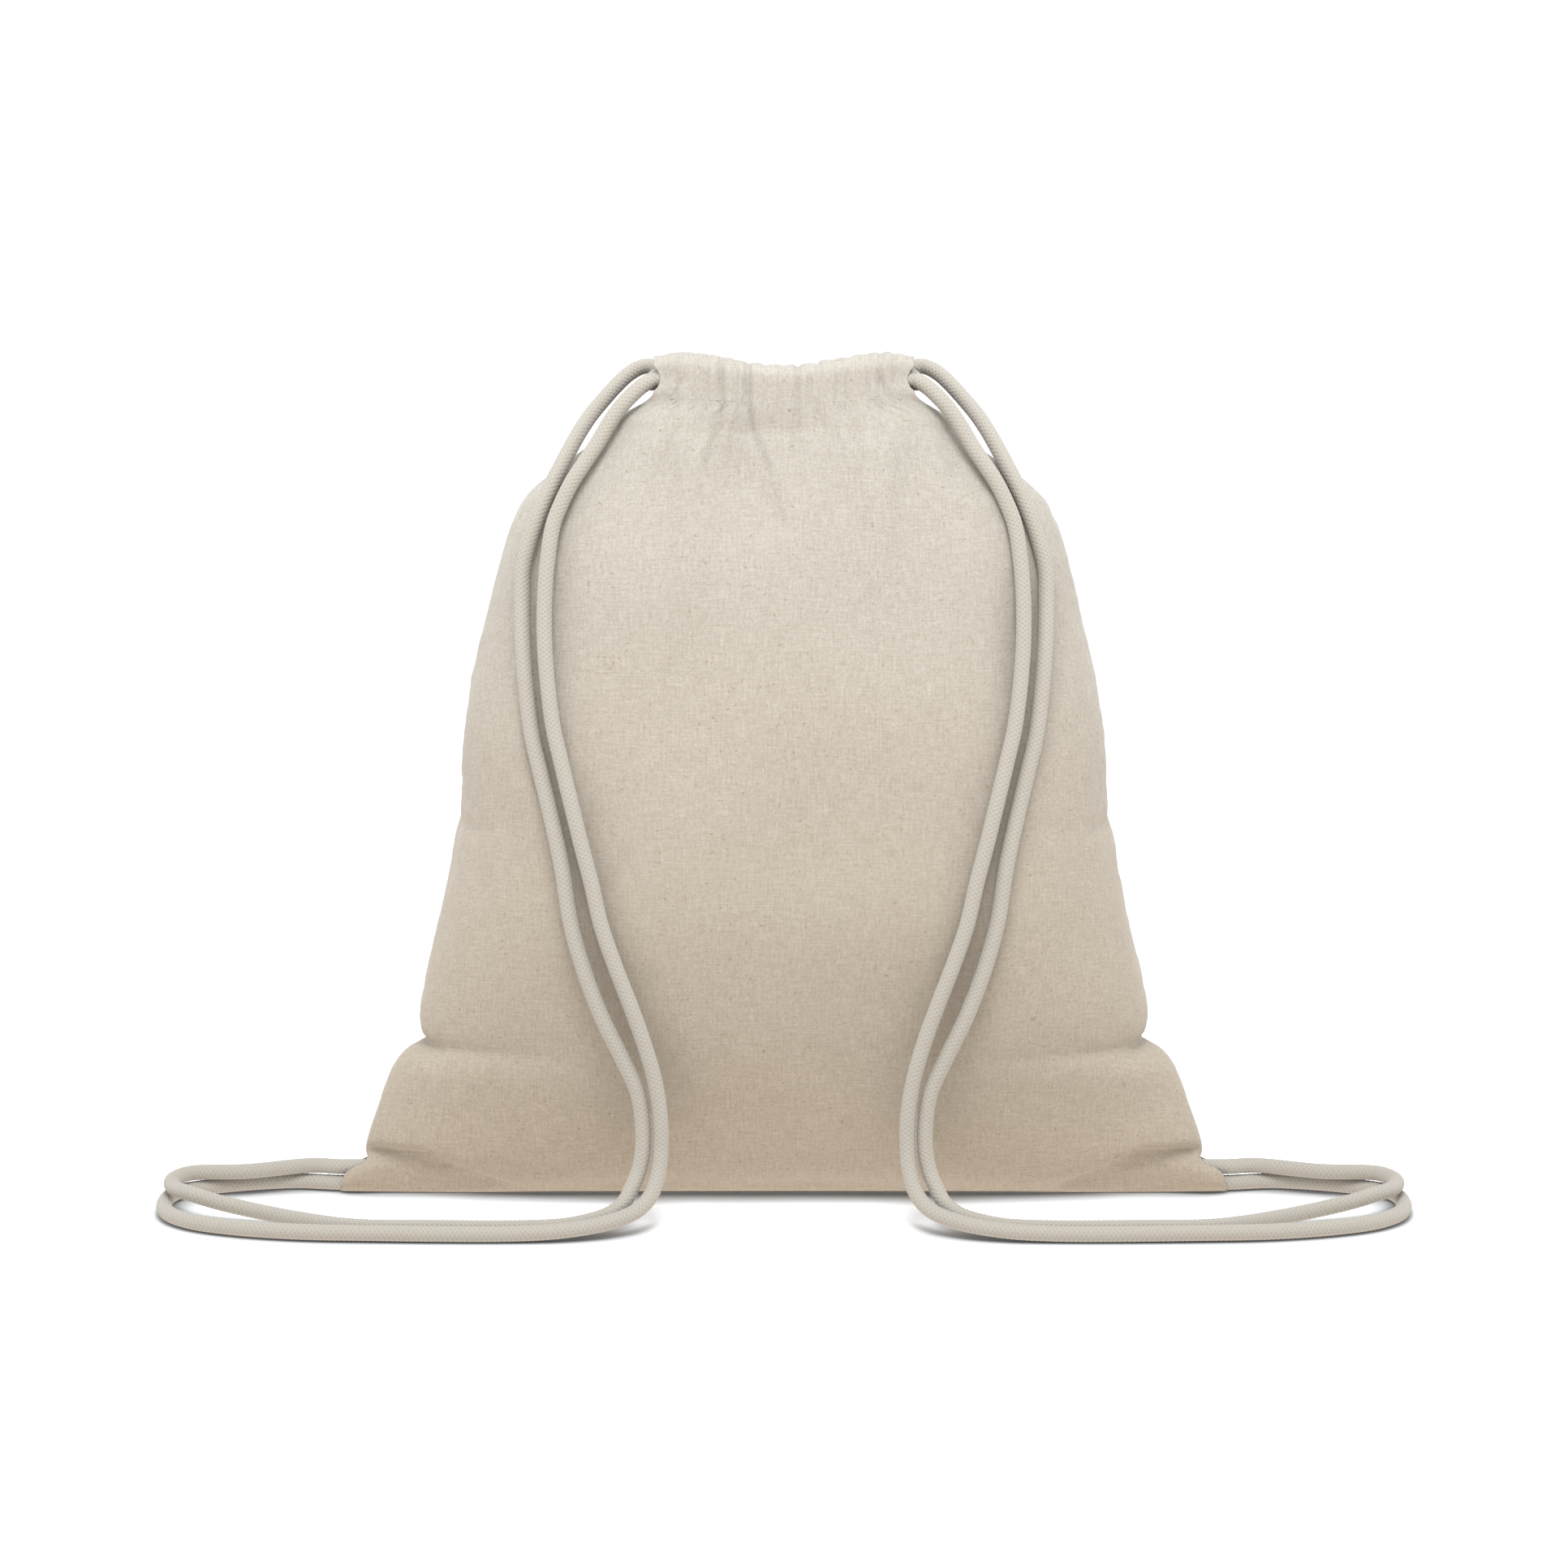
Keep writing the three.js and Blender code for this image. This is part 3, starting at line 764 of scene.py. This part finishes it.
def calm_share(body):
    """How much of the simulated folding to keep: less beside the seams, near the hem and at the base."""
    z = body[:, :, 2]
    u = np.abs(np.linspace(-1, 1, body.shape[1]))[None, :]
    below_hem = smoothstep(0, 18, NECK - z)
    above_base = 0.2 + 0.8 * smoothstep(40, 190, z)
    away_from_seam = 1 - 0.65 * smoothstep(0.5, 0.8, u)
    return below_hem * above_base * away_from_seam


def refined(moves, row_count, column_count):
    down = cubic_weights(moves.shape[0], row_count)
    across = cubic_weights(moves.shape[1], column_count)
    return np.einsum("ri,ijk,cj->rck", down, moves, across)


# ---------------------------------------------------------------- gathers, creases and seams


def row_normals(rows, front):
    """Outward directions at each point of a grid of rows."""
    across = np.gradient(rows, axis=1)
    up = np.gradient(rows, axis=0)
    normal = np.cross(across, up)
    normal /= np.maximum(np.linalg.norm(normal, axis=2), 1e-9)[:, :, None]
    return normal if front else -normal


def gather_field(rows, body_count, seed):
    """Narrow valleys between rounded gathers: deep at the hem, fanning out and fading down the panel."""
    random = np.random.default_rng(seed)
    x, z = rows[:, :, 0], rows[:, :, 2]
    in_hem = (np.arange(len(rows)) >= body_count)[:, None]
    below = np.where(in_hem, 0, np.clip(NECK + 3 - z, 0, None))
    total = np.zeros(x.shape)
    place = -HEM_HALF + 3.5
    while place < HEM_HALF - 2:
        outer = abs(place) / HEM_HALF
        depth = random.uniform(0.6, 1.9) * (1 - 0.8 * outer**3)
        width = random.uniform(1.1, 1.8)
        reach = random.uniform(20, 60) * (1 - 0.35 * outer**2)
        lean = 0.85 * outer**2 * np.sign(place) + random.uniform(-0.08, 0.08)
        off = x - place - lean * below
        spread = width + below / 18
        valley = np.exp(-((off / spread) ** 2)) - 0.42 * np.exp(-((off / (2.6 * spread)) ** 2))
        total -= depth * valley * np.exp(-((below / reach) ** 1.5))
        place += random.uniform(4.6, 8.2)
    return total


def distance_to_line(x, z, points):
    """Signed distance from a bent line in the x-z plane, and how far along it the nearest point is."""
    points = np.array(points, float)
    lengths = np.linalg.norm(np.diff(points, axis=0), axis=1)
    starts = np.concatenate([[0], np.cumsum(lengths)])
    best = np.full(x.shape, np.inf)
    signed = np.zeros(x.shape)
    share = np.zeros(x.shape)
    for i, length in enumerate(lengths):
        run = (points[i + 1] - points[i]) / length
        along = (x - points[i, 0]) * run[0] + (z - points[i, 1]) * run[1]
        off = (x - points[i, 0]) * -run[1] + (z - points[i, 1]) * run[0]
        low = 0 if i else -np.inf
        high = length if i < len(lengths) - 1 else np.inf
        inside = np.clip(along, low, high)
        reach = np.hypot(off, along - inside)
        nearer = reach < best
        best = np.where(nearer, reach, best)
        signed = np.where(nearer, np.sign(off) * reach, signed)
        share = np.where(nearer, (starts[i] + inside) / starts[-1], share)
    return signed, share


def crease_field(x, z, creases):
    """Each crease is a bent line in the front view with a valley along it and a raised or sunken side.

    A crease is its points, the valley's depth and width, and the height and width of its left side.
    """
    total = np.zeros(x.shape)
    for points, depth, width, side_height, side_width in creases:
        signed, share = distance_to_line(x, z, points)
        fade = smoothstep(-0.12, 0.12, share) * (1 - smoothstep(0.4, 1.05, share))
        total -= depth * fade * np.exp(-((signed / width) ** 2))
        side = smoothstep(-0.4 * width, width, signed) * np.exp(-((signed / side_width) ** 2))
        total += side_height * fade * side
    return total


def slow_waves(rows, seed, size):
    """Smooth unevenness of a hand-filled bag."""
    random = np.random.default_rng(seed)
    x, z = rows[:, :, 0], rows[:, :, 2]
    total = np.zeros(x.shape)
    for _ in range(9):
        wave = random.uniform(60, 140)
        heading = random.uniform(0, 2 * math.pi)
        phase = random.uniform(0, 2 * math.pi)
        total += np.sin((x * math.cos(heading) + z * math.sin(heading)) * 2 * math.pi / wave + phase)
    return size * total / 3


def side_pucker(rows, body_count):
    """Pulls the cloth in along the side seams, unevenly, as the stitching does."""
    u = np.linspace(-1, 1, rows.shape[1])[None, :]
    arc = (1 - np.abs(u)) * 170
    z = rows[:, :, 2]
    ripple = 0.14 * np.sin(z * 2 * math.pi / 17.3) + 0.1 * np.sin(z * 2 * math.pi / 7.9 + 1.3)
    pinch = np.exp(-((arc / 4.0) ** 2))
    ripples = np.exp(-((arc / 13.0) ** 2)) * (1 - pinch)
    index = np.arange(rows.shape[0])[:, None].astype(float)
    closed = 1 - smoothstep(body_count - 8, body_count - 1, index)
    low = smoothstep(14, 40, z)
    return closed * low * (ripple * ripples - 0.3 * pinch)


def corner_opening(rows, front):
    """Parts the side seam just above each bottom corner, where the two cords go in, as moves along y."""
    u = np.linspace(-1, 1, rows.shape[1])[None, :]
    arc = (1 - np.abs(u)) * 183
    z = rows[:, :, 2]
    low = smoothstep(0.3, 4.5, z) * (1 - smoothstep(12.5, 17, z))
    moves = np.zeros(rows.shape)
    moves[:, :, 1] = (-1 if front else 1) * 4.4 * low * np.exp(-((arc / 17) ** 2))
    return moves


# creases that one panel has, then those that it has on both sides, given for the left
FRONT_CREASES = (
    ([(-15, 342), (-15, 324), (-12.8, 314), (-6, 297), (2, 272)], 1.8, 1.7, 0, 9),
    ([(3, 276), (-4, 290), (-9, 302), (-14.5, 314), (-16, 324)], 0, 5.0, -1.8, 13),
    ([(-25, 340), (-25.5, 322), (-27, 300)], 0.8, 2.0, 0.3, 6),
    ([(23.8, 342), (24, 330), (25.5, 316), (28, 300)], 1.9, 2.0, 0.6, 6),
    ([(10.4, 336), (11, 316)], 1.2, 1.6, 0.4, 5),
    ([(-40, 334), (-47, 321), (-58, 303)], 1.0, 2.2, 0.5, 6),
    ([(38, 336), (43, 321), (51, 300)], 1.0, 2.2, 0.5, 6),
)
BACK_CREASES = (
    ([(12, 340), (11, 322), (4, 298), (1, 276)], 1.6, 2.2, 1.4, 8),
    ([(-27, 338), (-29, 320), (-36, 298)], 1.6, 2.4, 0.8, 7),
    ([(33, 338), (37, 318), (48, 298)], 1.5, 2.4, 0.8, 7),
)
SIDE_CREASES = (
    ([(-151, 62), (-144, 60), (-130, 55.5)], 1.2, 4.0, 0.6, 10),
    ([(-135, 154), (-128, 152.5), (-116, 152)], 0.6, 3.5, 0.4, 9),
)
CORNER_CREASES = (
    ([(-178, 17.5), (-162, 18.9), (-148, 18.8), (-134, 13.7), (-118, 8.5)], 2.6, 1.7, 2.6, 14),
    ([(-116, 7), (-134, 12.2), (-148, 17.3), (-162, 17.4), (-178, 16)], 0, 1.6, -2.4, 11),
)


def press_under_cords(grid, normal, paths):
    """Lets the cords press into the cloth, so that it stays just under them."""
    tree = KDTree(sum(len(path) for path in paths))
    for i, point in enumerate(np.vstack(paths)):
        if point[2] > DENT_LOWEST:
            tree.insert(point, i)
    tree.balance()
    radius = CORD_DIAMETER / 2 + CORD_GAP
    reach = math.sqrt(2 * DENT_RADIUS * radius)
    for i, j in np.ndindex(grid.shape[:2]):
        place = Vector(grid[i, j])
        near, _, distance = tree.find(place)
        if distance > 2 * reach:
            continue
        out = Vector(normal[i, j])
        away = place - near
        height = away.dot(out)
        aside = math.sqrt(max(distance**2 - height**2, 0))
        allowed = -radius + aside**2 / (2 * DENT_RADIUS)
        if aside < reach and height > allowed and height > -3 * radius:
            grid[i, j] += normal[i, j] * (allowed - height)
    return grid


def panel_grid(front, seed, moves, paths):
    """One panel's points, in metres, with the simulated folds, gathers, creases and seams."""
    body = body_rows(front, ROW_STEP, COLUMNS)
    if moves is not None:
        body = body + refined(moves, len(body), COLUMNS + 1) * calm_share(body)[:, :, None]
        body[:, :, 2] = np.maximum(body[:, :, 2], 0)
    rows = join_rows(body, hem_rows(front, COLUMNS))
    normal = row_normals(rows, front)
    u = np.abs(np.linspace(-1, 1, COLUMNS + 1))
    off_seam = 1 - np.exp(-(((1 - u) * 170 / 9) ** 2))[None, :]
    index = np.arange(len(rows))[:, None].astype(float)
    open_end = smoothstep(len(body) - 6, len(body) + 2, index)
    free = np.maximum(off_seam, open_end)
    bottom = smoothstep(0, 3, index)
    resting = 1.0 if front else smoothstep(16, 60, rows[:, :, 2])
    push = gather_field(rows, len(body), seed) * free
    x, z = rows[:, :, 0], rows[:, :, 2]
    both_sides = SIDE_CREASES + CORNER_CREASES if front else SIDE_CREASES
    creases = crease_field(x, z, FRONT_CREASES if front else BACK_CREASES)
    creases += crease_field(x, z, both_sides) + crease_field(-x, z, both_sides)
    push += creases * free * bottom * resting
    push += slow_waves(rows, seed + 1, 1.0) * free * bottom * (1 - open_end) * resting
    push += side_pucker(rows, len(body))
    inside = smoothstep(len(body) + 18, len(body) + 26, index)
    moved = rows + normal * (push * (1 - 0.6 * inside))[:, :, None]
    moved += corner_opening(rows, front)
    moved[:, :, 2] = np.maximum(moved[:, :, 2], 0.2)
    grid = moved * MM
    if front:
        body_part = grid[: len(body)]
        press_under_cords(body_part, row_normals(body_part, True), paths)
    return grid, len(body)


def cloth_panel(name, grid, front):
    """A panel as a closed thin sheet, with the woven directions of the cloth as its UVs."""
    row_count, column_count = grid.shape[:2]
    index = np.arange(row_count * column_count).reshape(row_count, column_count)
    quads = np.stack([index[:-1, :-1], index[:-1, 1:], index[1:, 1:], index[1:, :-1]], axis=2)
    quads = quads.reshape(-1, 4)
    panel = new_mesh(name, grid.reshape(-1, 3), quads if front else quads[:, ::-1])
    steps = np.linalg.norm(np.diff(grid, axis=1), axis=2)
    sideways = np.concatenate([np.zeros((row_count, 1)), np.cumsum(steps, axis=1)], axis=1)
    sideways -= sideways[:, column_count // 2][:, None]
    rises = np.linalg.norm(np.diff(grid, axis=0), axis=2)
    upwards = np.concatenate([np.zeros((1, column_count)), np.cumsum(rises, axis=0)], axis=0)
    flat = np.stack([sideways, upwards], axis=2).reshape(-1, 2)
    layer = panel.data.uv_layers.new(name="weave")
    corners = np.zeros(len(panel.data.loops), int)
    panel.data.loops.foreach_get("vertex_index", corners)
    layer.data.foreach_set("uv", flat[corners].ravel())
    apply_modifier(panel, "SOLIDIFY", thickness=THICKNESS * MM, offset=-1)
    panel.data.materials.append(CLOTH)
    return panel


def apply_modifier(thing, kind, **values):
    modifier = thing.modifiers.new(kind.lower(), kind)
    for key, value in values.items():
        setattr(modifier, key, value)
    bpy.ops.object.select_all(action="DESELECT")
    bpy.context.view_layer.objects.active = thing
    thing.select_set(True)
    bpy.ops.object.modifier_apply(modifier=modifier.name)


THREAD_SIDES = 6
STITCH_COLUMNS = 4  # length of a stitch, in columns of the panel
STITCH_GAP = 1
STITCH_RADIUS = 0.2 * MM
STITCH_SUNK = 0.35  # share of its radius that a stitch sinks into the cloth
STITCH_END = 0.45  # thickness of a stitch where it goes into the cloth, as a share


def hem_thread(name, grid, front, body_count):
    """The row of stitches that holds the hem down, lying on the gathered cloth."""
    row = grid[body_count + 2]
    normal = row_normals(grid, front)[body_count + 2]
    vertices, faces = [], []
    stitch, gap, sides = STITCH_COLUMNS, STITCH_GAP, THREAD_SIDES
    radius = STITCH_RADIUS
    for first in range(3, len(row) - stitch - 2, stitch + gap):
        line = row[first : first + stitch + 1] - normal[first : first + stitch + 1] * radius * STITCH_SUNK
        base = len(vertices)
        for i, centre in enumerate(line):
            swell = radius * (STITCH_END if i in (0, stitch) else 1)
            for j in range(sides):
                turn = 2 * math.pi * j / sides
                upward = np.array((0, 0, math.sin(turn)))
                vertices.append(centre + swell * (normal[first + i] * math.cos(turn) + upward))
        for i in range(stitch):
            for j in range(sides):
                k = (j + 1) % sides
                a, b = base + i * sides, base + (i + 1) * sides
                faces.append((a + j, a + k, b + k, b + j))
        faces.append(tuple(base + j for j in range(sides))[::-1])
        faces.append(tuple(base + stitch * sides + j for j in range(sides)))
    thread = new_mesh(name, vertices, faces)
    thread.data.materials.append(THREAD)
    return thread


# ---------------------------------------------------------------- building the pieces

CORNER_TUCK = 12  # how far a strand goes on into the open end of the side seam
RUN_HEIGHT = 336.3
RUN_OFFSET = 3.4
RUN_EXIT = HEM_HALF - 0.4  # where a run meets its own strand
RUN_TURN = HEM_HALF - 2.6  # where a run bends round to the other hem
EXIT_HEIGHTS = {"front": INNER_STRAND[0][2], "back": OUTER_STRAND[0][2]}
TURN_REACH = 4
TURN_DROOP = 3.5
TACK_BOTTOM = (72.4, 312.2)  # x and z of the stitches at the bottom of a slit
TACK_TOP = (70.4, 314.8)
TACK_LOOPS = 6
TACK_LOOP_STEPS = 14
TACK_THREAD_RADIUS = 0.22
TACK_HALF_WIDTH = 1.3
TACK_HALF_DEPTH = 1.1
TACK_INSET = 0.6
RUN_RISE_POWER = 6  # a run stays level and rises to its strand only near the end
RUN_DIP_SHARE = 0.9


def build_panels(paths):
    moves = simulated_moves()
    for front, moved, seed in ((True, moves[0], 11), (False, moves[1], 23)):
        side = "front" if front else "back"
        grid, body_count = panel_grid(front, seed, moved, paths)
        panel = cloth_panel(f"{side}_cloth", grid, front)
        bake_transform(panel)
        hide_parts(f"{side}_panel", f"{side}_casing")
        thread = hem_thread(f"{side}_hem_thread", grid, front, body_count)
        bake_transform(thread)
        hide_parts(f"{side}_hem_stitches")


STRANDS = (("inner", INNER_STRAND, "front_lip"), ("outer", OUTER_STRAND, "back_lip"))


def build_strands():
    """The four free strands. Returns the points that they follow."""
    paths = []
    for side_name, side in SIDES:
        for strand, route, lip in STRANDS:
            name = f"{side_name}_{strand}_strand"
            end = route[-1]
            tucked = (end[0] + CORNER_TUCK, end[1], end[2])
            points = mirrored((*route, tucked), side)
            cord, path = braided_cord(f"{name}_cord", points)
            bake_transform(cord)
            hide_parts(name)
            round(route_length(path), 3)
            paths.append(path)
    return paths


def build_runs():
    """The stretches of cord inside the hems, which sag with the rim, and the bends that join them."""
    for cord_name, cord_side in (("left", -1), ("right", 1)):
        for side_name, side in (("front", -1), ("back", 1)):
            points = []
            for own in np.linspace(1, 0, 13):  # 1 where this cord leaves the bag, 0 at its bend
                x = cord_side * (own * RUN_EXIT - (1 - own) * RUN_TURN)
                outward = math.cos(math.pi * (1 - own))
                y = SEAM_Y + side * (hem_middle(x) + RUN_OFFSET * outward)
                passing = RUN_OFFSET * cord_side * math.sin(math.pi * own)
                lift = (EXIT_HEIGHTS[side_name] - RUN_HEIGHT) * own**RUN_RISE_POWER
                points.append((x, y, RUN_HEIGHT - passing - RUN_DIP_SHARE * rim_dip(x) + lift))
            run, _ = braided_cord(f"{cord_name}_{side_name}_run_cord", points)
            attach(run, f"{side_name}_lip")
            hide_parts(f"{cord_name}_cord_{side_name}_run")
        build_turn(cord_name, -cord_side)


def build_turn(cord_name, side):
    """The bend at the far slit, in two halves, because each half follows its own hem."""
    inner_run = HEM_SLOT + HEM_DEPTH / 2 - RUN_OFFSET
    for side_name, lip_side in (("front", -1), ("back", 1)):
        points = []
        for share in np.linspace(0, 1, 6):
            forward = math.sin(share * math.pi / 2)
            x = side * (RUN_TURN + 0.3 + TURN_REACH * forward)
            y = SEAM_Y + lip_side * inner_run * math.cos(share * math.pi / 2)
            points.append((x, y, RUN_HEIGHT - TURN_DROOP * smoothstep(0, 1, share)))
        half, _ = braided_cord(f"{cord_name}_turn_{side_name}_half", points)
        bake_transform(half)
        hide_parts(f"{cord_name}_cord_turn")


def build_slit_tacks():
    """Close loops of thread round both cloths at the bottom of each slit."""
    sides = THREAD_SIDES
    radius = TACK_THREAD_RADIUS
    turns = np.linspace(0, 2 * math.pi * TACK_LOOPS, TACK_LOOPS * TACK_LOOP_STEPS + 1)
    share = turns / turns[-1]
    leaning = TACK_BOTTOM[0] + (TACK_TOP[0] - TACK_BOTTOM[0]) * share
    x = leaning + TACK_HALF_WIDTH * np.cos(turns) - TACK_INSET
    y = SEAM_Y + TACK_HALF_DEPTH * np.sin(turns)
    z = TACK_BOTTOM[1] + (TACK_TOP[1] - TACK_BOTTOM[1]) * share
    for side_name, side in SIDES:
        path = np.column_stack([-side * x, y, z])
        out, up = travelling_frames(path)
        around = np.linspace(0, 2 * math.pi, sides, endpoint=False)
        tube = path[:, None] + radius * (
            out[:, None] * np.cos(around)[None, :, None] + up[:, None] * np.sin(around)[None, :, None]
        )
        index = np.arange(len(path) * sides).reshape(-1, sides)
        turned = np.roll(index, -1, axis=1)
        quads = np.stack([index[:-1], turned[:-1], turned[1:], index[1:]], axis=2).reshape(-1, 4)
        ends = [tuple(index[0][::-1]), tuple(index[-1])]
        tack = new_mesh(f"{side_name}_slit_stitches", tube.reshape(-1, 3) * MM, [*quads, *ends])
        tack.data.materials.append(THREAD)
        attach(tack, "bag")
        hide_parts(f"{side_name}_slit_tack")


def finish_carried_nodes():
    """CAD pieces that stay get their own cloth, cord or thread material."""
    for name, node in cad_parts.items():
        if name.endswith(("seam", "panel", "casing")):
            look = CLOTH
        elif name.endswith(("stitches", "tack")):
            look = THREAD
        else:
            look = CORD
        node.data.materials.clear()
        node.data.materials.append(look)


build_panels(build_strands())
build_runs()
build_slit_tacks()
finish_carried_nodes()
